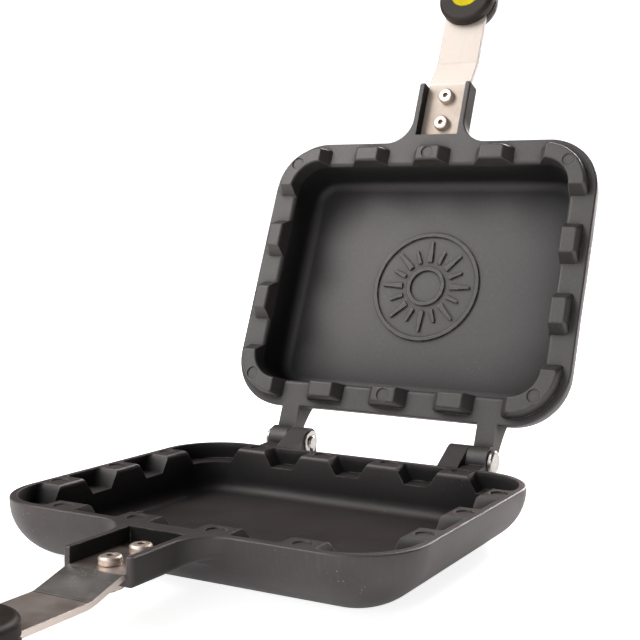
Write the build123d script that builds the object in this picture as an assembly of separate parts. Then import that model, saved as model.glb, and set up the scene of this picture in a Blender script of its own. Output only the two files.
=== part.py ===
from build123d import *
import math
import os

os.makedirs("parts", exist_ok=True)

# Hinged pie iron: two cast half shells with interlocking rims, joined at the
# back by two hinge pins, each with a flat steel handle strip and a two-part grip.
#
# Frame (mm): origin at the centre of the lower pan's flat underside.
# +Z up, +X to the right along the hinge line, handles towards -Y, hinge at +Y.

# ---------------------------------------------------------------- dimensions
# half shells
SHELL_X = 145.0          # rim outline, along the hinge
SHELL_Y = 117.0          # rim outline, handle side to hinge side
CORNER_R = 22.0          # plan radius of the rim's corners
DEPTH = 20.0             # height of one half shell
RIM_LAND = 1.3           # short upright band below the rim edge
BOTTOM_INSET = 21.5      # how far the rounded side pulls in at the underside
RIM_EDGE_R = 0.6         # rounding of the rim's outer edge
PARTING_GAP = 0.4        # gap between the two rims when shut

# cavity
RIM_W = 10.6             # rim width, outer edge to cavity wall
CAVITY_DEPTH = 16.5
CAVITY_DRAFT = 3.2       # degrees
CAVITY_FILLET = 4.5      # wall to floor
MOUTH_R = 1.6            # rounding of the cavity mouth

# interlocking teeth (lid) and pockets (pan)
TOOTH_H = 5.0
TOOTH_HALF_FOOT = 8.3    # half the width at the rim plane, along the rim
TOOTH_HALF_TIP = 5.0
TOOTH_OUT_INSET = 3.0    # rim edge to the tooth's outer face, at the rim plane
TOOTH_OUT_DRAFT = 8.0
TOOTH_EDGE_R = 1.0
TOOTH_OVERRUN = 2.7      # corner teeth: how far each foot runs past the corner's arc
LONG_SIDE_X = (-28.2, 0.0, 28.2)
SHORT_SIDE_Y = (-14.1, 14.1)
POCKET_DEPTH = 5.8
POCKET_HALF_TOP = 8.45
POCKET_OUT_INSET = 2.4
POCKET_OUT_DRAFT = 5.0
POCKET_OVERRUN = 2.85
PIN_MARK_R = 2.7         # ejector pin marks, on the teeth
PAN_MARK_R = 3.0         # the same, between the pockets
PIN_MARK_DEPTH = 0.45

# handle bracket on each shell
BRACKET_W = 23.5
BRACKET_END_Y = -86.5
BRACKET_H = 8.3
CHANNEL_W = 19.0
CHANNEL_IN_Y = -62.0
BRACKET_FLARE_R = 11.0   # blend into the shell's side, in plan and below
BRACKET_LOW_R = 1.5

# handle strip
STRIP_W = 18.8
STRIP_T = 1.8
STRIP_TOP = 4.5          # depth of its face below the rim plane, in the bracket
STRIP_DROP = 8.1         # the same, between the bends and the grip
BEND_1_Y = -87.8
BEND_2_Y = -99.8
TANG_W = 14.0
TANG_END_Y = -240.0
STRIP_START_Y = -62.3

# screws that hold the strip in the bracket
SCREW_Y = (-68.8, -81.4)
SCREW_R = 2.0
HEAD_R = 3.3
HEAD_H = 2.4
HOLE_R = 2.15
NUT_AF = 7.0
NUT_H = 2.2
WASHER_R = 4.0
WASHER_T = 0.5

# grips
GRIP_R = 12.6            # half width, and radius of the rounded ends
GRIP_FRONT_Y = -118.3
GRIP_END_Y = -250.0
GRIP_FACE = 4.2          # depth of the flat inner face below the parting plane
GRIP_BACK = 17.0         # depth of the outer face below the parting plane
GRIP_SCREW_Y = (-154.0, -218.0)
CAP_R = 6.75
CAP_Y = -132.4

# hinge
HINGE_Y = 72.5
KNUCKLE_R = 5.5
PIN_R = 2.5
PIN_RUN = 0.06           # radial clearance in the lid's arms
LUG_X = (30.6, 38.6)     # pan lugs
ARM_X = (39.0, 46.9)     # lid arms
LID_OPEN = 111.2         # degrees, on the stop

# ---------------------------------------------------------------- derived
PARTING_Z = DEPTH + PARTING_GAP / 2
XC = SHELL_X / 2 - CORNER_R
YC = SHELL_Y / 2 - CORNER_R
SIDE_H = DEPTH - RIM_LAND
MOUTH_X = SHELL_X / 2 - RIM_W
MOUTH_Y = SHELL_Y / 2 - RIM_W
MOUTH_CR = CORNER_R - RIM_W
END_LEAN = (TOOTH_HALF_FOOT - TOOTH_HALF_TIP) / TOOTH_H   # slope of the teeth's ends
HINGE = Axis((0, HINGE_Y, PARTING_Z), (1, 0, 0))


def one(shape):
    """The single solid of a result."""
    parts = shape.solids()
    assert len(parts) == 1, f"expected one solid, got {len(parts)}"
    return parts[0]


def group(solids, name):
    c = Compound(children=list(solids))
    c.label = name
    return c


def extrude_x(sketch_yz, x0, x1):
    f = Plane((x0, 0, 0), x_dir=(0, 1, 0), z_dir=(1, 0, 0)) * sketch_yz
    return extrude(f, amount=x1 - x0, dir=(1, 0, 0))


def poly(points):
    return make_face(Polyline(*points, close=True))


# ---------------------------------------------------------------- half shell
def side_profile(c):
    """Right half of the section, from the corner centre c outwards."""
    a = c + CORNER_R - BOTTOM_INSET
    b = c + CORNER_R
    lines = [
        Line((c - 1.0, 0), (a, 0)),
        EllipticalCenterArc((a, SIDE_H), BOTTOM_INSET, SIDE_H, start_angle=-90, arc_size=90),
        Line((b, SIDE_H), (b, DEPTH)),
        Line((b, DEPTH), (c - 1.0, DEPTH)),
        Line((c - 1.0, DEPTH), (c - 1.0, 0)),
    ]
    return make_face(Curve() + lines)


def corner_profile():
    a = CORNER_R - BOTTOM_INSET
    lines = [
        Line((0, 0), (a, 0)),
        EllipticalCenterArc((a, SIDE_H), BOTTOM_INSET, SIDE_H, start_angle=-90, arc_size=90),
        Line((CORNER_R, SIDE_H), (CORNER_R, DEPTH)),
        Line((CORNER_R, DEPTH), (0, DEPTH)),
        Line((0, DEPTH), (0, 0)),
    ]
    return make_face(Curve() + lines)


def blank():
    """Outer form of a half shell, without its cavity."""
    core = Pos(0, 0, DEPTH / 2) * Box(2 * XC, 2 * YC, DEPTH)
    body = core
    right = extrude(Plane((0, -YC, 0), x_dir=(1, 0, 0), z_dir=(0, -1, 0)) * side_profile(XC), amount=-2 * YC)
    body = body + right + mirror(right, about=Plane.YZ)
    back = extrude(Plane((-XC, 0, 0), x_dir=(0, 1, 0), z_dir=(1, 0, 0)) * side_profile(YC), amount=2 * XC)
    body = body + back + mirror(back, about=Plane.XZ)
    wedge = revolve(Plane.XZ * corner_profile(), axis=Axis.Z, revolution_arc=90)
    # turn the wedge so that it fills the quadrant x > 0, y > 0
    box = wedge.bounding_box()
    if box.min.Y < -1:
        wedge = wedge.rotate(Axis.Z, 90)
    w = Pos(XC, YC, 0) * wedge
    for s in (w, mirror(w, about=Plane.YZ)):
        body = body + s + mirror(s, about=Plane.XZ)
    return body


def rim_plane_edges(body, level):
    return [e for e in body.edges() if all(abs((e @ t).Z - level) < 1e-3 for t in (0.0, 0.37, 1.0))]


def bracket():
    """Handle bracket before it joins the shell and before its channel is cut."""
    back_y = -SHELL_Y / 2 + 16.0
    block = Pos(0, (BRACKET_END_Y + back_y) / 2, DEPTH - BRACKET_H / 2) * Box(
        BRACKET_W, back_y - BRACKET_END_Y, BRACKET_H
    )
    low = [e for e in block.edges().filter_by(Axis.Y) if e.center().Z < DEPTH - BRACKET_H + 0.1]
    block = fillet(low, BRACKET_LOW_R)
    ends = [e for e in block.edges().filter_by(Axis.Z) if e.center().Y < BRACKET_END_Y + 0.5]
    return fillet(ends, 0.9)


def shell():
    body = blank() + bracket()
    # one rolling blend where the bracket meets the shell's rounded side
    root = [
        e
        for e in body.edges()
        if abs((e @ 0.5).X) <= BRACKET_W / 2 + 0.05
        and -SHELL_Y / 2 - 1.0 < (e @ 0.5).Y < -40
        and DEPTH - BRACKET_H - 0.5 < (e @ 0.5).Z < DEPTH - 0.01
    ]
    body = fillet(root, BRACKET_FLARE_R)
    body = fillet(rim_plane_edges(body, DEPTH), RIM_EDGE_R)
    mouth = Pos(0, 0, DEPTH) * RectangleRounded(2 * MOUTH_X, 2 * MOUTH_Y, MOUTH_CR)
    cavity = extrude(mouth, amount=-CAVITY_DEPTH, taper=CAVITY_DRAFT)
    cavity = fillet(rim_plane_edges(cavity, DEPTH - CAVITY_DEPTH), CAVITY_FILLET)
    body = body - cavity
    lip = [
        e
        for e in rim_plane_edges(body, DEPTH)
        if abs(e.center().X) < MOUTH_X + 0.5 and abs(e.center().Y) < MOUTH_Y + 0.5
    ]
    body = fillet(lip, MOUTH_R)
    # channel for the strip, open at the handle end
    z = DEPTH - STRIP_TOP - STRIP_T
    channel = Pos(0, (CHANNEL_IN_Y + BRACKET_END_Y - 4) / 2, z + 10) * Box(
        CHANNEL_W, CHANNEL_IN_Y - BRACKET_END_Y + 4, 20
    )
    body = body - channel
    for y in SCREW_Y:
        body = body - Pos(0, y, 10) * Cylinder(HOLE_R, 20)
    # spot face that seats the inner washer
    body = body - Pos(0, SCREW_Y[0], DEPTH - BRACKET_H - 4) * Cylinder(WASHER_R + 0.5, 8)
    return body


def rim_block(w0, w1, i0, i1, o0, o1, z0, z1):
    """Block with sloping ends on a straight side of the rim: X along the side, Y outwards
    with the rim's outer edge at 0. Half width w, inner inset i and outer inset o, at z0 and z1."""
    ends = poly([(-w0, z0), (w0, z0), (w1, z1), (-w1, z1)])
    a = extrude(Plane((0, 5, 0), x_dir=(1, 0, 0), z_dir=(0, -1, 0)) * ends, amount=30)
    sides = poly([(-i0, z0), (-o0, z0), (-o1, z1), (-i1, z1)])
    return one(a & extrude_x(sides, -20, 20))


def corner_block(v0, v1, i0, i1, o0, o1, z0, z1):
    """The same round a rim corner, centred on the corner's own axis, for the quadrant
    x > 0, y > 0. Its ends run past the arc by v0 and v1."""
    r = CORNER_R
    section = poly([(r - i0, z0), (r - o0, z0), (r - o1, z1), (r - i1, z1)])
    quadrant = Pos(20, 20, (z0 + z1) / 2) * Box(40, 40, 60)
    ring = revolve(Plane.XZ * section, axis=Axis.Z, revolution_arc=360) & quadrant
    run = max(v0, v1) + 1.0
    arm = extrude_x(section, -run, 0)
    body = ring + arm + extrude(Plane.XZ * section, amount=run)
    for turn in (0, 1):
        lo, hi = (v0, v1)
        keep = poly([(-lo, z0), (60, z0), (60, z1), (-hi, z1)])
        if turn == 0:
            half = extrude(Plane((0, -30, 0), x_dir=(1, 0, 0), z_dir=(0, -1, 0)) * keep, amount=-90)
        else:
            half = extrude_x(keep, -30, 60)
        body = body & half
    return one(body)


def on_straight_sides(shape):
    out = []
    for x in LONG_SIDE_X:
        out.append(Pos(x, SHELL_Y / 2, 0) * shape)
        out.append(Pos(x, -SHELL_Y / 2, 0) * Rot(0, 0, 180) * shape)
    for y in SHORT_SIDE_Y:
        out.append(Pos(SHELL_X / 2, y, 0) * Rot(0, 0, -90) * shape)
        out.append(Pos(-SHELL_X / 2, y, 0) * Rot(0, 0, 90) * shape)
    return out


def at_corners(shape):
    return [
        Pos(sx * XC, sy * YC, 0) * Rot(0, 0, a) * shape
        for sx, sy, a in ((1, 1, 0), (-1, 1, 90), (-1, -1, 180), (1, -1, 270))
    ]


def upright_outer_edges(shape, inset_at):
    """Edges between the outer face and the two ends of a block."""
    return [
        e
        for e in shape.edges()
        if abs((e @ 0).Z - (e @ 1).Z) > 1.0
        and inset_at(e.center()) < (RIM_W + TOOTH_OUT_INSET) / 2
        and max(abs((e @ 0).X), abs((e @ 1).X)) > 0.01
        and max(abs((e @ 0).Y), abs((e @ 1).Y)) > 0.01
    ]


def teeth():
    """Raised blocks on the lid's rim (rim plane at DEPTH, pointing up). Their inner faces
    carry on the line of the cavity wall."""
    root = MOUTH_R + 0.3  # depth that each block reaches into the rim
    h = TOOTH_H
    inner = math.tan(math.radians(CAVITY_DRAFT))
    outer = math.tan(math.radians(TOOTH_OUT_DRAFT))
    sides = (
        RIM_W - 0.1 + inner * root,
        RIM_W - 0.1 - inner * h,
        TOOTH_OUT_INSET - outer * root,
        TOOTH_OUT_INSET + outer * h,
        DEPTH - root,
        DEPTH + h,
    )
    t = rim_block(TOOTH_HALF_FOOT + END_LEAN * root, TOOTH_HALF_TIP, *sides)
    t = fillet(upright_outer_edges(t, lambda p: -p.Y), 1.4)
    t = fillet(t.faces().sort_by(Axis.Z)[-1].edges(), TOOTH_EDGE_R)
    c = corner_block(TOOTH_OVERRUN + END_LEAN * root, TOOTH_OVERRUN - END_LEAN * h, *sides)
    c = fillet(upright_outer_edges(c, lambda p: CORNER_R - math.hypot(max(p.X, 0), max(p.Y, 0))), 1.4)
    c = fillet(c.faces().sort_by(Axis.Z)[-1].edges(), 0.8)
    return on_straight_sides(one(t)) + at_corners(one(c))


def pockets():
    """Recesses in the pan's rim that take the lid's teeth, open to the cavity."""
    d = POCKET_DEPTH
    up = 0.5
    outer = math.tan(math.radians(POCKET_OUT_DRAFT))
    sides = (
        RIM_W + 3.0,
        RIM_W + 3.0,
        POCKET_OUT_INSET + outer * d,
        POCKET_OUT_INSET - outer * up,
        DEPTH - d,
        DEPTH + up,
    )
    p = rim_block(POCKET_HALF_TOP - END_LEAN * d, POCKET_HALF_TOP + END_LEAN * up, *sides)
    p = fillet(upright_outer_edges(p, lambda q: -q.Y), 1.5)
    c = corner_block(POCKET_OVERRUN - END_LEAN * d, POCKET_OVERRUN + END_LEAN * up, *sides)
    c = fillet(upright_outer_edges(c, lambda q: CORNER_R - math.hypot(max(q.X, 0), max(q.Y, 0))), 1.5)
    return on_straight_sides(one(p)) + at_corners(one(c))


def mark(x, y, z, r=PIN_MARK_R):
    return Pos(x, y, z - PIN_MARK_DEPTH / 2 + 0.5) * Cylinder(r, PIN_MARK_DEPTH + 1.0)


# ---------------------------------------------------------------- hinge profiles
def knuckle():
    return Pos(HINGE_Y, PARTING_Z) * Circle(KNUCKLE_R)


def lug_profile():
    """Pan lug: web, knuckle, and a leg down to the plane the pan stands on."""
    lines = [
        Line((54.6, 19.5), (60.4, 19.5)),
        Line((60.4, 19.5), (69.7, 24.93)),
        Line((69.7, 24.93), (HINGE_Y, PARTING_Z)),
        Line((HINGE_Y, PARTING_Z), (HINGE_Y + KNUCKLE_R, PARTING_Z)),
        Line((HINGE_Y + KNUCKLE_R, PARTING_Z), (76.8, 0.0)),
        Line((76.8, 0.0), (68.8, 0.0)),
        ThreePointArc((68.8, 0.0), (64.6, 6.2), (53.0, 8.6)),
        Line((53.0, 8.6), (54.6, 19.5)),
    ]
    return [make_face(Curve() + lines), knuckle()]


def arm_profile():
    """Lid arm (rim plane up): web, knuckle and the tail that meets the stop."""
    t = math.radians(LID_OPEN)
    tail_open = [(-13.85, -1.0), (-13.85, -5.0), (-9.0, -6.2), (-3.5, -5.0), (0.0, -3.0), (0.0, 0.0), (-4.0, -0.4)]
    tail = []
    for u, w in tail_open:
        uc = u * math.cos(t) - w * math.sin(t)
        wc = u * math.sin(t) + w * math.cos(t)
        tail.append((HINGE_Y + uc, PARTING_Z - wc))
    lines = [
        Line((54.6, DEPTH), (HINGE_Y - 4.0, DEPTH)),
        Line((HINGE_Y - 4.0, DEPTH), (HINGE_Y, PARTING_Z)),
        Line((HINGE_Y, PARTING_Z), (HINGE_Y + 1.2, PARTING_Z - 5.36)),
        ThreePointArc((HINGE_Y + 1.2, PARTING_Z - 5.36), (64.5, 12.6), (53.6, 6.6)),
        Line((53.6, 6.6), (54.6, DEPTH)),
    ]
    return [make_face(Curve() + lines), knuckle(), poly(tail)]


def to_lid(shape):
    """From the shut, rim-up construction position to the open lid."""
    return shut(shape).rotate(HINGE, -LID_OPEN)


def shut(shape):
    return mirror(shape, about=Plane.XY.offset(PARTING_Z))


# ---------------------------------------------------------------- castings
shell_blank = shell()

pan = shell_blank
for s in (-1, 1):
    x0, x1 = (LUG_X if s > 0 else (-LUG_X[1], -LUG_X[0]))
    lug = Part() + [extrude_x(f, x0, x1) for f in lug_profile()]
    lug = lug - Pos((x0 + x1) / 2, HINGE_Y, PARTING_Z) * Rot(0, 90, 0) * Cylinder(PIN_R, 20)
    pan = pan + lug
for p in pockets():
    pan = pan - p
for x, y in [(14.1, 53.6), (42.4, 53.6), (67.3, 28.3), (67.3, 0.0)]:
    for sx in (-1, 1):
        for sy in (-1, 1):
            if y == 0.0 and sy > 0:
                continue
            pan = pan - mark(sx * x, sy * y, DEPTH, PAN_MARK_R)
pan = one(pan)

lid = shell_blank
for t in teeth():
    lid = lid + t
for s in (-1, 1):
    x0, x1 = (ARM_X if s > 0 else (-ARM_X[1], -ARM_X[0]))
    arm = Part() + [extrude_x(f, x0, x1) for f in arm_profile()]
    arm = arm - Pos((x0 + x1) / 2, HINGE_Y, PARTING_Z) * Rot(0, 90, 0) * Cylinder(PIN_R + PIN_RUN, 20)
    lid = lid + arm
tip = DEPTH + TOOTH_H
mid_y = SHELL_Y / 2 - (RIM_W + TOOTH_OUT_INSET) / 2
diag = (CORNER_R - RIM_W + CORNER_R - TOOTH_OUT_INSET) / 2 / math.sqrt(2)
for sy in (-1, 1):
    lid = lid - mark(0.0, sy * mid_y, tip)
    for sx in (-1, 1):
        lid = lid - mark(sx * (XC + diag), sy * (YC + diag), tip)

# embossed ornament on the lid's cooking face: a plain sunburst in a ring
floor_z = DEPTH - CAVITY_DEPTH
sun = Circle(23.6) - Circle(22.2)
sun = sun + (Circle(8.4) - Circle(7.0))
for i in range(16):
    a = 22.5 * i
    long_ray = i % 2 == 0
    r0, r1 = 10.8, (19.6 if long_ray else 16.6)
    w = 2.2 if long_ray else 1.5
    ray = poly([(r0, -w / 2), (r0, w / 2), (r1, 0.45), (r1, -0.45)])
    sun = sun + Rot(0, 0, a) * ray
emboss = extrude(Pos(0, 0, floor_z - 0.3) * sun, amount=0.3 + 0.8, taper=0)
lid = lid + emboss
lid = one(lid)


# ---------------------------------------------------------------- handle parts, lower position
def strip():
    z0 = DEPTH - STRIP_TOP
    z1 = DEPTH - STRIP_DROP
    # section in (y, z): both faces, mitred at the two bends
    slope = math.atan2(z0 - z1, BEND_1_Y - BEND_2_Y)
    m = STRIP_T * math.tan(slope / 2)
    b1 = (BEND_1_Y, z0)
    b2 = (BEND_2_Y, z1)
    b1u = (BEND_1_Y + m, z0 - STRIP_T)
    b2u = (BEND_2_Y + m, z1 - STRIP_T)
    section = poly(
        [(STRIP_START_Y, z0), b1, b2, (TANG_END_Y, z1), (TANG_END_Y, z1 - STRIP_T), b2u, b1u, (STRIP_START_Y, z0 - STRIP_T)]
    )

    def near(q):
        return [v for v in section.vertices() if math.hypot(v.X - q[0], v.Y - q[1]) < 0.01]

    section = fillet(near(b1), 3.0)
    section = fillet(near(b2u), 14.0)
    section = fillet(near(b1u), 1.0)
    section = fillet(near(b2), 5.0)
    body = extrude_x(section, -STRIP_W / 2, STRIP_W / 2)
    # the tang inside the grip is narrower
    for s in (-1, 1):
        cut_w = (STRIP_W - TANG_W) / 2 + 1
        body = body - Pos(s * (TANG_W / 2 + cut_w / 2), (GRIP_FRONT_Y - 14 + TANG_END_Y - 2) / 2, z1) * Box(
            cut_w, abs(TANG_END_Y - 2 - GRIP_FRONT_Y + 14), 8
        )
    for y in SCREW_Y:
        body = body - Pos(0, y, z0) * Cylinder(HOLE_R, 8)
    for y in GRIP_SCREW_Y + (CAP_Y,):
        body = body - Pos(0, y, z1) * Cylinder(1.9, 8)
    ends = [
        e
        for e in body.edges()
        if abs(e.center().Y - STRIP_START_Y) < 0.05 and abs(abs(e.center().X) - STRIP_W / 2) < 0.05
    ]
    if ends:
        body = fillet(ends, 0.8)
    return one(body)


def strip_screws():
    z0 = DEPTH - STRIP_TOP
    out = []
    for y in SCREW_Y:
        head = Pos(0, y, z0 + HEAD_H / 2) * Cylinder(HEAD_R, HEAD_H)
        top = head.faces().sort_by(Axis.Z)[-1]
        head = fillet(top.edges(), 1.0)
        low = head.faces().sort_by(Axis.Z)[0]
        head = fillet(low.edges(), 0.35)
        socket = extrude(Pos(0, y, z0 + HEAD_H) * RegularPolygon(1.2, 6), amount=-1.3)
        shank_end = DEPTH - BRACKET_H - WASHER_T - NUT_H - 0.9
        shank = Pos(0, y, (z0 + 0.2 + shank_end) / 2) * Cylinder(SCREW_R, z0 + 0.2 - shank_end)
        tip = shank.faces().sort_by(Axis.Z)[0]
        shank = chamfer(tip.edges(), 0.4)
        out.append(one(head + shank - socket))
    return out


def strip_washers():
    out = []
    z = DEPTH - BRACKET_H - WASHER_T / 2
    for y in SCREW_Y:
        w = Pos(0, y, z) * (Cylinder(WASHER_R, WASHER_T) - Cylinder(HOLE_R, WASHER_T * 3))
        out.append(one(w))
    return out


def strip_nuts():
    out = []
    z_top = DEPTH - BRACKET_H - WASHER_T
    r = NUT_AF / 2 / math.cos(math.radians(30))
    for y in SCREW_Y:
        n = extrude(Pos(0, y, z_top - NUT_H) * RegularPolygon(r, 6), amount=NUT_H)
        # rounded corners of the hexagon
        cone = Pos(0, y, z_top - NUT_H / 2) * Cylinder(r - 0.12, NUT_H)
        cone = chamfer(cone.faces().sort_by(Axis.Z)[0].edges(), 0.45)
        n = n & cone
        n = n - Pos(0, y, z_top - NUT_H / 2) * Cylinder(SCREW_R, NUT_H * 3)
        out.append(one(n))
    return out


FRONT_HEAD_H = 1.9
SPLIT_Z = DEPTH - STRIP_DROP - STRIP_T / 2      # where the two grip shells meet
FACE_Z = PARTING_Z - GRIP_FACE
BACK_Z = PARTING_Z - GRIP_BACK
GRIP_LEN = GRIP_FRONT_Y - GRIP_END_Y
GRIP_MID_Y = (GRIP_FRONT_Y + GRIP_END_Y) / 2


def grip_plan(shrink=0.0):
    return Pos(0, GRIP_MID_Y) * Rot(0, 0, 90) * SlotOverall(GRIP_LEN - 2 * shrink, 2 * (GRIP_R - shrink))


def strip_slot():
    """Space for the strip between the shells, with a little room round it."""
    z1 = DEPTH - STRIP_DROP
    c = 0.05
    wide = Pos(0, GRIP_FRONT_Y - 7 + 4, z1 - STRIP_T / 2) * Box(STRIP_W + 0.4, 22, STRIP_T + 2 * c)
    y0, y1 = GRIP_FRONT_Y, TANG_END_Y - 0.4
    tang = Pos(0, (y0 + y1) / 2, z1 - STRIP_T / 2) * Box(TANG_W + 0.4, y0 - y1, STRIP_T + 2 * c)
    return wide + tang


def grip_inner_shell():
    h = FACE_Z - SPLIT_Z - 0.1
    g = extrude(Pos(0, 0, SPLIT_Z + 0.1) * grip_plan(), amount=h)
    top = g.faces().sort_by(Axis.Z)[-1]
    g = fillet(top.edges(), 2.0)
    low = g.faces().sort_by(Axis.Z)[0]
    g = chamfer(low.edges(), 0.35)
    g = g - strip_slot()
    # recess for the cap, and the seat of the front screw's head below it
    g = g - Pos(0, CAP_Y, FACE_Z) * Cylinder(CAP_R + 0.05, 2.4)
    g = g - Pos(0, CAP_Y, FACE_Z - 1.2 - FRONT_HEAD_H / 2) * Cylinder(3.0, FRONT_HEAD_H)
    g = g - Pos(0, CAP_Y, SPLIT_Z) * Cylinder(1.65, 12)
    # weight-saving wells beside the screw bosses, open towards the split
    z_roof = FACE_Z - 2.2
    for y0, y1 in [(-148.5, -141.5), (-212.0, -160.0), (-236.0, -224.0)]:
        well = Pos(0, (y0 + y1) / 2, (z_roof + SPLIT_Z) / 2) * Box(16.0, y1 - y0, z_roof - SPLIT_Z)
        g = g - well
    for y in GRIP_SCREW_Y:
        g = g - Pos(0, y, SPLIT_Z + 1.9) * Cylinder(1.5, 3.8)
    return one(g)


def grip_outer_shell():
    h = SPLIT_Z - 0.1 - BACK_Z
    g = extrude(Pos(0, 0, BACK_Z) * grip_plan(), amount=h)
    low = g.faces().sort_by(Axis.Z)[0]
    g = fillet(low.edges(), 5.6)
    top = g.faces().sort_by(Axis.Z)[-1]
    g = chamfer(top.edges(), 0.35)
    g = g - strip_slot()
    z_floor = BACK_Z + 2.4
    for y0, y1 in [(-148.5, -137.5), (-212.0, -160.0), (-236.0, -224.0)]:
        well = Pos(0, (y0 + y1) / 2, (z_floor + SPLIT_Z) / 2) * Box(14.5, y1 - y0, SPLIT_Z - z_floor + 0.2)
        g = g - well
    for y in GRIP_SCREW_Y:
        g = g - Pos(0, y, BACK_Z + 5) * Cylinder(1.65, 20)
        g = g - Pos(0, y, BACK_Z + 1.4) * Cylinder(3.0, 2.8)
    g = g - Pos(0, CAP_Y, (BACK_Z + 3.0 + SPLIT_Z + 0.2) / 2) * Cylinder(1.5, SPLIT_Z + 0.2 - BACK_Z - 3.0)
    return one(g)


def grip_screws():
    out = []
    for y in GRIP_SCREW_Y:
        z0 = BACK_Z + 2.8
        head = Pos(0, y, z0 - 1.0) * Cylinder(2.8, 2.0)
        head = fillet(head.faces().sort_by(Axis.Z)[0].edges(), 0.8)
        shank = Pos(0, y, (z0 - 0.1 + SPLIT_Z + 3.5) / 2) * Cylinder(1.5, SPLIT_Z + 3.5 - z0 + 0.1)
        slot = Pos(0, y, z0 - 2.0) * (Box(3.0, 0.7, 1.8) + Box(0.7, 3.0, 1.8))
        out.append(one(head + shank - slot))
    # front screw, head up, hidden by the cap
    z1 = FACE_Z - 1.2 - FRONT_HEAD_H
    z0 = BACK_Z + 3.3
    head = Pos(0, CAP_Y, z1 + 0.9) * Cylinder(2.8, 1.8)
    head = fillet(head.faces().sort_by(Axis.Z)[-1].edges(), 0.6)
    shank = Pos(0, CAP_Y, (z0 + z1 + 0.1) / 2) * Cylinder(1.5, z1 + 0.1 - z0)
    slot = Pos(0, CAP_Y, z1 + 1.8) * (Box(3.0, 0.7, 1.8) + Box(0.7, 3.0, 1.8))
    out.append(one(head + shank - slot))
    return out


def cap():
    c = Pos(0, CAP_Y, FACE_Z - 1.2 + 0.7) * Cylinder(CAP_R, 1.4)
    return one(fillet(c.faces().sort_by(Axis.Z)[-1].edges(), 0.35))


# ---------------------------------------------------------------- hinge pins
def hinge_pin(s):
    x_head = ARM_X[1] + 0.3
    x_in = LUG_X[0] - 1.7
    pin = Pos((x_in + x_head + 0.2) / 2, HINGE_Y, PARTING_Z) * Rot(0, 90, 0) * Cylinder(PIN_R, x_head + 0.2 - x_in)
    pin = chamfer(pin.faces().sort_by(Axis.X)[0].edges(), 0.4)
    head = Pos(x_head + 0.85, HINGE_Y, PARTING_Z) * Rot(0, 90, 0) * Cylinder(4.3, 1.7)
    head = fillet(head.faces().sort_by(Axis.X)[-1].edges(), 0.8)
    p = pin + head
    x_g = LUG_X[0] - 0.4
    groove = Pos(x_g, HINGE_Y, PARTING_Z) * Rot(0, 90, 0) * (Cylinder(3.4, 0.8) - Cylinder(1.9, 0.8))
    p = one(p - groove)
    return p if s > 0 else one(mirror(p, about=Plane.YZ))


def pin_clip(s):
    x_g = LUG_X[0] - 0.4
    ring = Circle(4.4) - Circle(1.9)
    # open side of the clip
    ring = ring - Pos(0, -4.0) * Rectangle(2.6, 8.0)
    for a in (60, 180, 300):
        ring = ring - Rot(0, 0, a) * Pos(0, 2.7) * Circle(0.55)
    f = Plane((x_g - 0.35, HINGE_Y, PARTING_Z), x_dir=(0, 1, 0), z_dir=(1, 0, 0)) * ring
    c = one(extrude(f, amount=0.7))
    return c if s > 0 else one(mirror(c, about=Plane.YZ))


# ---------------------------------------------------------------- write
lower = {
    "handle_strip": [strip()],
    "strip_screws": strip_screws(),
    "strip_washers": strip_washers(),
    "strip_nuts": strip_nuts(),
    "grip_inner_shell": [grip_inner_shell()],
    "grip_outer_shell": [grip_outer_shell()],
    "grip_screws": grip_screws(),
    "grip_cap": [cap()],
}

nodes = {"lower_pan": [pan]}
for name, solids in lower.items():
    nodes["lower_" + name] = solids
nodes["upper_lid"] = [one(to_lid(lid))]
for name, solids in lower.items():
    nodes["upper_" + name] = [one(to_lid(s)) for s in solids]
nodes["hinge_pins"] = [hinge_pin(1), hinge_pin(-1)]
nodes["hinge_pin_clips"] = [pin_clip(1), pin_clip(-1)]

for name, solids in nodes.items():
    shape = solids[0] if len(solids) == 1 else group(solids, name)
    shape.label = name
    export_step(shape, f"parts/{name}.step")
    print(name, len(solids), round(sum(s.volume for s in solids), 1), all(s.is_valid for s in solids))
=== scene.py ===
import math

import bmesh
import bpy
from mathutils import Matrix, Vector

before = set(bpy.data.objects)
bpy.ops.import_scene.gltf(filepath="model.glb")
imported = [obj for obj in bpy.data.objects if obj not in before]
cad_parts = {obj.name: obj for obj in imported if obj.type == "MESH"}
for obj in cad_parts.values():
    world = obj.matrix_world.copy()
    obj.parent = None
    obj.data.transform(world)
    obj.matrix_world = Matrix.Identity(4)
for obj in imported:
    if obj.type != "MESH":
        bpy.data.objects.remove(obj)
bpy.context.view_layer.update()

scene = bpy.context.scene


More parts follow.
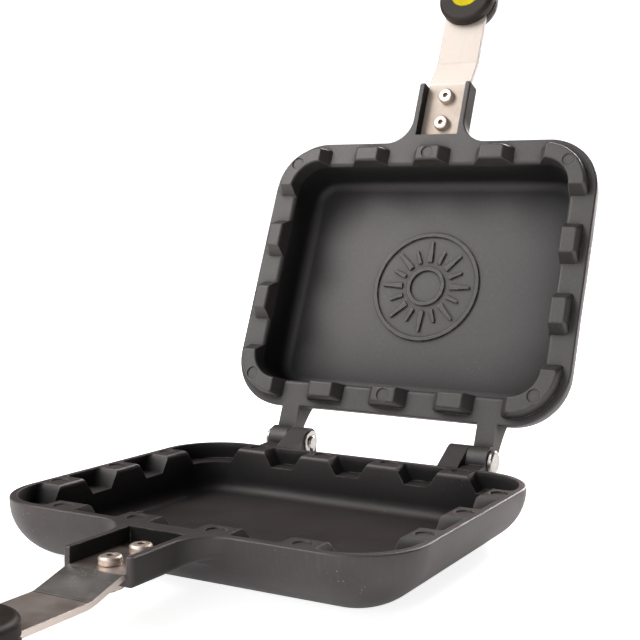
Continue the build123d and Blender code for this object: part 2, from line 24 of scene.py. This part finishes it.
# ---------------------------------------------------------------- node helpers
class Mat:
    """A short way to write procedural materials."""

    def __init__(self, name):
        self.m = bpy.data.materials.new(name)
        self.m.use_nodes = True
        self.t = self.m.node_tree
        self.t.nodes.clear()
        self.out = self.n("ShaderNodeOutputMaterial")
        self.bsdf = self.n("ShaderNodeBsdfPrincipled")
        self.t.links.new(self.bsdf.outputs[0], self.out.inputs["Surface"])
        self.tc = self.n("ShaderNodeTexCoord")
        self.pos = self.tc.outputs["Object"]

    def n(self, kind, **kw):
        node = self.t.nodes.new(kind)
        for k, v in kw.items():
            setattr(node, k, v)
        return node

    def link(self, a, b):
        self.t.links.new(a, b)

    def put(self, sock, value):
        if isinstance(value, bpy.types.NodeSocket):
            self.link(value, sock)
        elif value is not None:
            sock.default_value = value

    def scaled(self, vec, scale, rot=(0, 0, 0)):
        n = self.n("ShaderNodeMapping")
        self.link(vec, n.inputs["Vector"])
        n.inputs["Scale"].default_value = scale
        n.inputs["Rotation"].default_value = rot
        return n.outputs[0]

    def noise(self, vec, scale, detail=2.0, rough=0.5, distort=0.0, out="Fac"):
        n = self.n("ShaderNodeTexNoise")
        self.link(vec, n.inputs["Vector"])
        n.inputs["Scale"].default_value = scale
        n.inputs["Detail"].default_value = detail
        n.inputs["Roughness"].default_value = rough
        n.inputs["Distortion"].default_value = distort
        return n.outputs[out]

    def voronoi(self, vec, scale, feature="F1", out="Distance", rand=1.0):
        n = self.n("ShaderNodeTexVoronoi", feature=feature)
        self.link(vec, n.inputs["Vector"])
        n.inputs["Scale"].default_value = scale
        n.inputs["Randomness"].default_value = rand
        return n.outputs[out]

    def ramp(self, fac, stops, interp="LINEAR"):
        n = self.n("ShaderNodeValToRGB")
        n.color_ramp.interpolation = interp
        els = n.color_ramp.elements
        while len(els) < len(stops):
            els.new(0.5)
        for e, (p, c) in zip(els, stops):
            e.position = p
            e.color = (c, c, c, 1) if isinstance(c, (int, float)) else tuple(c) + (1,) * (4 - len(c))
        self.link(fac, n.inputs[0])
        return n.outputs[0]

    def math(self, op, a, b=None, c=None, clamp=False):
        n = self.n("ShaderNodeMath", operation=op, use_clamp=clamp)
        self.put(n.inputs[0], a)
        if b is not None:
            self.put(n.inputs[1], b)
        if c is not None:
            self.put(n.inputs[2], c)
        return n.outputs[0]

    def remap(self, v, a, b, c=0.0, d=1.0, smooth=False):
        n = self.n("ShaderNodeMapRange")
        if smooth:
            n.interpolation_type = "SMOOTHSTEP"
        self.link(v, n.inputs["Value"])
        n.inputs["From Min"].default_value = a
        n.inputs["From Max"].default_value = b
        n.inputs["To Min"].default_value = c
        n.inputs["To Max"].default_value = d
        return n.outputs[0]

    def mix(self, fac, a, b, blend="MIX"):
        n = self.n("ShaderNodeMix", data_type="RGBA", blend_type=blend)
        self.put(n.inputs[0], fac)
        for sock, v in ((n.inputs[6], a), (n.inputs[7], b)):
            if isinstance(v, bpy.types.NodeSocket):
                self.link(v, sock)
            else:
                sock.default_value = tuple(v) + (1,) * (4 - len(v))
        return n.outputs[2]

    def xyz(self, vec):
        n = self.n("ShaderNodeSeparateXYZ")
        self.link(vec, n.inputs[0])
        return n.outputs

    def edge_mask(self, radius, lo=0.01, hi=0.12):
        """1 on convex edges, 0 on flats: how far a rounded normal turns from the true one."""
        b = self.n("ShaderNodeBevel", samples=6)
        b.inputs["Radius"].default_value = radius
        g = self.n("ShaderNodeNewGeometry")
        d = self.n("ShaderNodeVectorMath", operation="DOT_PRODUCT")
        self.link(b.outputs[0], d.inputs[0])
        self.link(g.outputs["Normal"], d.inputs[1])
        inv = self.math("SUBTRACT", 1.0, d.outputs["Value"])
        return self.remap(inv, lo, hi)

    def cavity(self, distance, samples=8):
        """0 deep in hollows and inner corners, 1 in the open."""
        a = self.n("ShaderNodeAmbientOcclusion", samples=samples, only_local=True)
        a.inputs["Distance"].default_value = distance
        return a.outputs["AO"]

    def bump(self, height, strength, distance, normal=None):
        n = self.n("ShaderNodeBump")
        n.inputs["Strength"].default_value = strength
        n.inputs["Distance"].default_value = distance
        self.link(height, n.inputs["Height"])
        if normal is not None:
            self.link(normal, n.inputs["Normal"])
        return n.outputs[0]

    def bevel_normal(self, radius, samples=4):
        b = self.n("ShaderNodeBevel", samples=samples)
        b.inputs["Radius"].default_value = radius
        return b.outputs[0]

    def set(self, **kw):
        names = {
            "color": "Base Color", "rough": "Roughness", "metal": "Metallic", "normal": "Normal", "spec": "Specular IOR Level",
            "coat": "Coat Weight", "coat_rough": "Coat Roughness", "ior": "IOR", "aniso": "Anisotropic",
        }
        for k, v in kw.items():
            s = self.bsdf.inputs[names[k]]
            if isinstance(v, bpy.types.NodeSocket):
                self.link(v, s)
            elif isinstance(v, (tuple, list)):
                s.default_value = tuple(v) + (1,) * (4 - len(v))
            else:
                s.default_value = v
        return self.m


def use(node, mat):
    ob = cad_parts[node]
    if not ob.data.materials:
        ob.data.materials.append(mat)
    else:
        for i in range(len(ob.data.materials)):
            ob.data.materials[i] = mat


# ---------------------------------------------------------------- materials
def casting(name, lid):
    """Non-stick coated casting: dark warm grey, fine orange peel, painted shade in the hollows and on the steep inside
    walls, worn edges.
    """
    m = Mat(name)
    # half-shell coordinates: z runs from the outer face to the rim, for the lid as for the pan
    p = m.scaled(m.pos, (1, 1, 1), (math.radians(111.2), 0, 0)) if lid else m.pos
    cloud = m.noise(p, 34.0, 5.0, 0.6)
    broad = m.noise(p, 11.0, 2.0, 0.5)
    grain = m.noise(p, 1500.0, 3.0, 0.6)
    peel = m.noise(p, 620.0, 2.0, 0.5)
    drawn = m.noise(m.scaled(p, (900, 900, 45)), 1.0, 3.0, 0.65)
    if lid:
        base = m.mix(m.remap(cloud, 0.3, 0.7), (0.0435, 0.0375, 0.0380), (0.0670, 0.0580, 0.0590))
    else:
        base = m.mix(m.remap(cloud, 0.3, 0.7), (0.0500, 0.0390, 0.0400), (0.0780, 0.0610, 0.0625))
    base = m.mix(m.math("MULTIPLY", m.remap(broad, 0.4, 0.7), 0.55), base, (0.050, 0.047, 0.050))
    base = m.mix(m.math("MULTIPLY", m.remap(grain, 0.35, 0.75), 0.30), base, (0.085, 0.077, 0.075))
    base = m.mix(m.math("MULTIPLY", m.remap(drawn, 0.52, 0.80), 0.40), base, (0.110, 0.098, 0.096))
    # pale dust and fine specks
    cells = m.voronoi(p, 520.0)
    patch = m.noise(p, 75.0, 2.0)
    specks = m.math("MULTIPLY", m.remap(cells, 0.16, 0.07), m.remap(patch, 0.57, 0.68))
    base = m.mix(m.math("MULTIPLY", specks, 0.22 if lid else 0.60), base, (0.42, 0.38, 0.34))
    # painted shade in the hollows and grooves, darkened nearly to black
    hollow_shade = m.remap(m.cavity(0.030, 10), 0.93, 0.50)
    base = m.mix(hollow_shade, base, (0.004, 0.0035, 0.0035))
    groove_shade = m.remap(m.cavity(0.0028, 8), 0.90, 0.50)
    base = m.mix(m.math("MULTIPLY", groove_shade, 0.85), base, (0.006, 0.005, 0.005))
    # painted shade on the steep walls inside the shell, and painted shade on the bracket's duller outer sides
    x, y, z = m.xyz(p)[:3]
    facing = m.tc.outputs["Normal"]
    if lid:
        facing = m.scaled(facing, (1, 1, 1), (math.radians(111.2), 0, 0))
        y = m.math("ADD", y, 0.11727)
        z = m.math("SUBTRACT", 0.0805, z)
    x, y_far = m.math("ABSOLUTE", x), m.math("ABSOLUTE", y)
    steep = m.remap(m.math("ABSOLUTE", m.xyz(facing)[2]), 0.80, 0.45)
    inside = m.math("MULTIPLY", m.remap(x, 0.0712, 0.0702), m.remap(y_far, 0.0572, 0.0562))
    inside = m.math("MULTIPLY", inside, m.remap(z, 0.0198, 0.0180))
    wall_shade = m.math("MULTIPLY", m.math("MULTIPLY", steep, m.remap(hollow_shade, 0.05, 0.40)), inside)
    if not lid:
        # painted shade on the steep walls of the handle channel
        channel = m.math("MULTIPLY", m.remap(x, 0.0108, 0.0102), m.remap(y, -0.0570, -0.0580))
        channel = m.math("MULTIPLY", m.math("MULTIPLY", channel, steep), m.remap(hollow_shade, 0.10, 0.45))
        wall_shade = m.math("ADD", m.math("MULTIPLY", wall_shade, 0.75), m.math("MULTIPLY", channel, 0.90), clamp=True)
    base = m.mix(wall_shade, base, (0.0016, 0.0014, 0.0014))
    # painted shade: the bracket's outer sides are darker, and rougher below
    side = m.math("MULTIPLY", m.math("MULTIPLY", m.remap(x, 0.0108, 0.0114), m.remap(y, -0.0600, -0.0650)), steep)
    base = m.mix(m.math("MULTIPLY", side, 0.60 if lid else 0.30), base, (0.016, 0.0135, 0.013))
    # worn edges
    edge = m.edge_mask(0.0008, 0.03, 0.24)
    wear_n = m.noise(p, 240.0, 5.0, 0.72)
    wear = m.math("MULTIPLY", edge, m.remap(wear_n, 0.36, 0.60))
    base = m.mix(m.math("MULTIPLY", wear, 0.62), base, (0.30, 0.265, 0.24))
    rough = m.remap(cloud, 0.3, 0.7, 0.37, 0.46)
    rough = m.math("ADD", rough, m.math("MULTIPLY", m.remap(drawn, 0.4, 0.8), 0.06))
    rough = m.math("ADD", rough, m.math("MULTIPLY", hollow_shade, 0.30))
    rough = m.math("ADD", rough, m.math("MULTIPLY", side, 0.35 if lid else 0.10))
    rough = m.math("ADD", rough, m.math("MULTIPLY", wall_shade, 0.40), clamp=True)
    rough = m.math("SUBTRACT", rough, m.math("MULTIPLY", wear, 0.06))
    nrm = m.bevel_normal(0.0004)
    nrm = m.bump(peel, 0.16, 0.00012, nrm)
    nrm = m.bump(drawn, 0.10, 0.00010, nrm)
    nrm = m.bump(grain, 0.10, 0.00006, nrm)
    return m.set(color=base, rough=rough, normal=nrm, spec=0.5, metal=0.0)


def steel_strip(name, upper):
    """Tumbled strip steel: fine lengthways grain, warm cast; between the bends, painted shade with soil on the pan's
    side and a painted highlight on the lid's side.
    """
    m = Mat(name)
    p = m.scaled(m.pos, (1, 1, 1), (math.radians(111.2), 0, 0)) if upper else m.pos
    x, y, z = m.xyz(m.pos)[:3]
    face = m.remap(m.math("ABSOLUTE", x), 0.00936, 0.00925)
    streak = m.noise(m.scaled(p, (1100, 60, 1100)), 1.0, 3.0, 0.6)
    cloud = m.noise(p, 70.0, 4.0, 0.6)
    fine = m.noise(p, 1900.0, 2.0, 0.6)
    if upper:
        # darker than the lower strip: painted shade, toning down the strong light on it
        base = m.mix(m.remap(cloud, 0.3, 0.7), (0.47, 0.415, 0.370), (0.55, 0.495, 0.450))
        base = m.mix(m.math("MULTIPLY", m.remap(streak, 0.35, 0.75), 0.15), base, (0.60, 0.555, 0.515))
        rough = m.remap(cloud, 0.3, 0.7, 0.48, 0.58)
    else:
        base = m.mix(m.remap(cloud, 0.3, 0.7), (0.76, 0.655, 0.60), (0.86, 0.755, 0.70))
        base = m.mix(m.math("MULTIPLY", m.remap(streak, 0.35, 0.75), 0.18), base, (0.92, 0.85, 0.81))
        rough = m.remap(cloud, 0.3, 0.7, 0.36, 0.46)
    if not upper:
        # cooler and darker between the bends: painted shade of the sloped section with blotchy soil, and speckled
        band = m.math("MULTIPLY", m.remap(y, -0.0999, -0.0996), m.remap(y, -0.0874, -0.0882))
        band = m.math("MULTIPLY", band, face)
        blotch = m.remap(m.noise(p, 150.0, 4.0, 0.65), 0.25, 0.70)
        slope_shade_and_soil = m.math("MULTIPLY", band, m.remap(blotch, 0.0, 1.0, 0.65, 1.0))
        base = m.mix(m.math("MULTIPLY", slope_shade_and_soil, 0.72), base, (0.30, 0.315, 0.31))
        # pale grit, thicker near the bracket
        near = m.remap(y, -0.0985, -0.0880, 0.35, 1.0)
        for scale, size, lo, hi in ((900.0, 0.30, 0.50, 0.58), (430.0, 0.22, 0.53, 0.60)):
            cells = m.voronoi(p, scale)
            pick = m.noise(m.scaled(p, (1, 1, 1), (0.3, 0.2, scale)), 230.0, 1.0)
            dots = m.math("MULTIPLY", m.remap(cells, size, size * 0.4), m.remap(pick, lo, hi))
            dots = m.math("MULTIPLY", m.math("MULTIPLY", dots, band), near)
            base = m.mix(m.math("MULTIPLY", dots, 0.85), base, (0.95, 0.93, 0.88))
        # at the second bend: a painted highlight line with a painted shade line beside it
        painted_highlight = m.math("MULTIPLY", m.math("MULTIPLY", m.remap(y, -0.0999, -0.0997), m.remap(y, -0.0992, -0.0994)), face)
        crease_shade = m.math("MULTIPLY", m.math("MULTIPLY", m.remap(y, -0.1004, -0.1001), m.remap(y, -0.0998, -0.1000)), face)
        base = m.mix(m.math("MULTIPLY", painted_highlight, 0.8), base, (0.88, 0.86, 0.82))
        base = m.mix(m.math("MULTIPLY", crease_shade, 0.8), base, (0.09, 0.085, 0.08))
        rough = m.math("SUBTRACT", rough, m.math("MULTIPLY", slope_shade_and_soil, 0.08))
    # soot and painted shade in the bracket, away from the open end
    wall_shade = m.remap(m.noise(p, 190.0, 4.0, 0.6), 0.30, 0.70, 0.75, 1.0)
    if upper:
        along = m.math("ADD", m.xyz(p)[1], 0.11727)
        # painted highlight: lighter between the bends
        painted_highlight = m.math("MULTIPLY", m.remap(along, -0.1001, -0.0992), m.remap(along, -0.0874, -0.0884))
        base = m.mix(painted_highlight, base, (0.74, 0.665, 0.605))
        # browner in the bracket: soot with painted shade
        inside = m.math("MULTIPLY", m.remap(along, -0.0885, -0.0840), face)
        soot_and_shade_amount = m.remap(m.noise(p, 120.0, 4.0, 0.6), 0.30, 0.70, 0.20, 0.65)
        base = m.mix(m.math("MULTIPLY", inside, soot_and_shade_amount), base, (0.34, 0.250, 0.185))
        base = m.mix(m.math("MULTIPLY", m.math("SUBTRACT", 1.0, face), 0.8), base, (0.36, 0.33, 0.34))
    else:
        # darker towards the -x side in the bracket: painted shadow of the wall, mottled like soot
        inside = m.math("MULTIPLY", m.remap(y, -0.0885, -0.0835), m.remap(x, 0.0075, -0.0040))
        base = m.mix(m.math("MULTIPLY", m.math("MULTIPLY", inside, wall_shade), 0.72), base, (0.13, 0.105, 0.09))
    nrm = m.bump(streak, 0.05, 0.00005, m.bevel_normal(0.0003))
    nrm = m.bump(fine, 0.06, 0.00004, nrm)
    return m.set(color=base, rough=rough, normal=nrm, metal=0.72 if upper else 1.0)


def screw_steel(name, tint, rough0):
    m = Mat(name)
    p = m.pos
    n1 = m.noise(p, 700.0, 4.0, 0.65)
    n2 = m.noise(p, 160.0, 3.0, 0.6)
    base = m.mix(m.remap(n2, 0.35, 0.7), tint, tuple(c * 0.70 for c in tint))
    # brown residue in the socket and recesses, darkened further by painted shade
    recess_shade = m.cavity(0.002)
    base = m.mix(m.math("MULTIPLY", m.remap(recess_shade, 0.75, 0.30), 0.75), base, (0.16, 0.095, 0.070))
    rough = m.remap(n1, 0.3, 0.7, rough0 - 0.08, rough0 + 0.14)
    nrm = m.bump(n1, 0.25, 0.00008, m.bevel_normal(0.00025))
    return m.set(color=base, rough=rough, normal=nrm, metal=1.0)


def grip_plastic():
    m = Mat("grip_plastic")
    p = m.pos
    fine = m.noise(p, 2600.0, 2.0, 0.6)
    cloud = m.noise(p, 60.0, 3.0, 0.6)
    base = m.mix(m.remap(cloud, 0.3, 0.7), (0.020, 0.0135, 0.011), (0.029, 0.0205, 0.0170))
    edge = m.edge_mask(0.0006, 0.03, 0.3)
    base = m.mix(m.math("MULTIPLY", edge, 0.25), base, (0.075, 0.066, 0.060))
    rough = m.remap(cloud, 0.3, 0.7, 0.46, 0.58)
    nrm = m.bump(fine, 0.22, 0.00005, m.bevel_normal(0.0004))
    return m.set(color=base, rough=rough, normal=nrm, spec=0.27)


def cap_plastic():
    m = Mat("cap_yellow")
    p = m.pos
    n = m.noise(p, 180.0, 3.0, 0.5)
    base = m.mix(m.remap(n, 0.3, 0.7), (0.60, 0.49, 0.002), (0.68, 0.57, 0.003))
    nrm = m.bump(m.noise(p, 900.0, 2.0), 0.08, 0.00005, m.bevel_normal(0.0003))
    return m.set(color=base, rough=m.remap(n, 0.3, 0.7, 0.50, 0.60), normal=nrm, spec=0.10)


cast_pan = casting("casting_pan", False)
cast_lid = casting("casting_lid", True)
strip_lower_m = steel_strip("strip_steel_lower", False)
strip_upper_m = steel_strip("strip_steel_upper", True)
screw_m = screw_steel("screw_steel", (0.84, 0.725, 0.64), 0.47)
pin_m = screw_steel("pin_steel", (0.60, 0.58, 0.55), 0.30)
black_m = screw_steel("grip_screw_steel", (0.16, 0.155, 0.15), 0.40)
grip_m = grip_plastic()
cap_m = cap_plastic()

use("lower_pan", cast_pan)
use("upper_lid", cast_lid)
for side in ("lower", "upper"):
    use(side + "_handle_strip", strip_upper_m if side == "upper" else strip_lower_m)
    use(side + "_strip_screws", screw_m)
    use(side + "_strip_washers", screw_m)
    use(side + "_strip_nuts", screw_m)
    use(side + "_grip_inner_shell", grip_m)
    use(side + "_grip_outer_shell", grip_m)
    use(side + "_grip_screws", black_m)
    use(side + "_grip_cap", cap_m)
use("hinge_pins", pin_m)
use("hinge_pin_clips", pin_m)


# ---------------------------------------------------------------- stage
def stage_floor():
    me = bpy.data.meshes.new("floor")
    s = 9.0
    me.from_pydata([(-s, -s, 0), (s, -s, 0), (s, s, 0), (-s, s, 0)], [], [(0, 1, 2, 3)])
    ob = bpy.data.objects.new("floor", me)
    scene.collection.objects.link(ob)
    ob.location.z = -0.0002
    m = Mat("floor_pale")
    m.set(color=(0.80, 0.80, 0.80), rough=0.95, spec=0.0)
    r = m.n("ShaderNodeVectorMath", operation="LENGTH")
    m.link(m.pos, r.inputs[0])
    # the camera sees the floor go to plain white away from the object; the object sees a softer glow
    glow = m.remap(r.outputs["Value"], 0.16, 0.60, 0.85, 1.50, smooth=True)
    seen = m.n("ShaderNodeLightPath").outputs["Is Camera Ray"]
    m.bsdf.inputs["Emission Color"].default_value = (1, 1, 1, 1)
    m.link(m.math("ADD", 0.27, m.math("MULTIPLY", seen, m.math("SUBTRACT", glow, 0.27))), m.bsdf.inputs["Emission Strength"])
    me.materials.append(m.m)
    return ob


stage_floor()

world = bpy.data.worlds.new("studio")
scene.world = world
world.use_nodes = True
wt = world.node_tree
wt.nodes.clear()
wo = wt.nodes.new("ShaderNodeOutputWorld")
bg_light = wt.nodes.new("ShaderNodeBackground")
bg_light.inputs[0].default_value = (1, 1, 1, 1)
bg_light.inputs[1].default_value = 0.03
bg_seen = wt.nodes.new("ShaderNodeBackground")
bg_seen.inputs[0].default_value = (1, 1, 1, 1)
bg_seen.inputs[1].default_value = 1.3
lp = wt.nodes.new("ShaderNodeLightPath")
wm = wt.nodes.new("ShaderNodeMixShader")
wt.links.new(lp.outputs["Is Camera Ray"], wm.inputs[0])
wt.links.new(bg_light.outputs[0], wm.inputs[1])
wt.links.new(bg_seen.outputs[0], wm.inputs[2])
wt.links.new(wm.outputs[0], wo.inputs[0])


def area(name, loc, target, size, power, color=(1, 1, 1)):
    d = bpy.data.lights.new(name, "AREA")
    d.shape = "RECTANGLE"
    d.size, d.size_y = size
    d.energy = power
    d.color = color
    ob = bpy.data.objects.new(name, d)
    scene.collection.objects.link(ob)
    ob.location = loc
    ob.rotation_euler = (Vector(target) - Vector(loc)).to_track_quat("-Z", "Y").to_euler()
    return ob


def aimed(name, azimuth, elevation, power, size=0.8, dist=1.5, color=(1, 1, 1)):
    """A soft square light: azimuth 0 is in front (-Y) and grows towards +X."""
    a, e = math.radians(azimuth), math.radians(elevation)
    t = Vector((0, 0.02, 0.05))
    away = Vector((math.sin(a) * math.cos(e), -math.cos(a) * math.cos(e), math.sin(e)))
    return area(name, t + dist * away, t, (size, size), power, color)


aimed("back_high", 178, 33, 27.0, color=(1.0, 0.94, 0.92))
aimed("back_low", 178, 18, 17.0, color=(1.0, 0.93, 0.92))
aimed("front_low", 0, 18, 8.0)
aimed("key_left", 310, 42, 11.0, size=0.7, color=(1.0, 0.985, 0.97))
aimed("key_high", 292, 62, 6.0, color=(1.0, 0.985, 0.97))
aimed("key_low", 295, 18, 2.0)

scene.view_settings.view_transform = "Standard"

# ---------------------------------------------------------------- camera
cam_d = bpy.data.cameras.new("camera")
cam = bpy.data.objects.new("camera", cam_d)
scene.collection.objects.link(cam)
right = Vector((0.89354307, 0.44873468, 0.01476365))
up = Vector((-0.04168199, 0.05016872, 0.99787059))
back = Vector((0.44703846, -0.89225573, 0.06353207))
rot = Matrix((right, up, back)).transposed()
cam.matrix_world = Matrix.Translation((0.197356, -0.310336, 0.104574)) @ rot.to_4x4()
cam_d.sensor_width = 36.0
cam_d.lens = 1123.76 * 36.0 / 640.0
cam_d.shift_x = (320.0 - 392.84) / 640.0
cam_d.shift_y = (302.99 - 320.0) / 640.0
cam_d.clip_start = 0.01
cam_d.dof.use_dof = False
scene.camera = cam
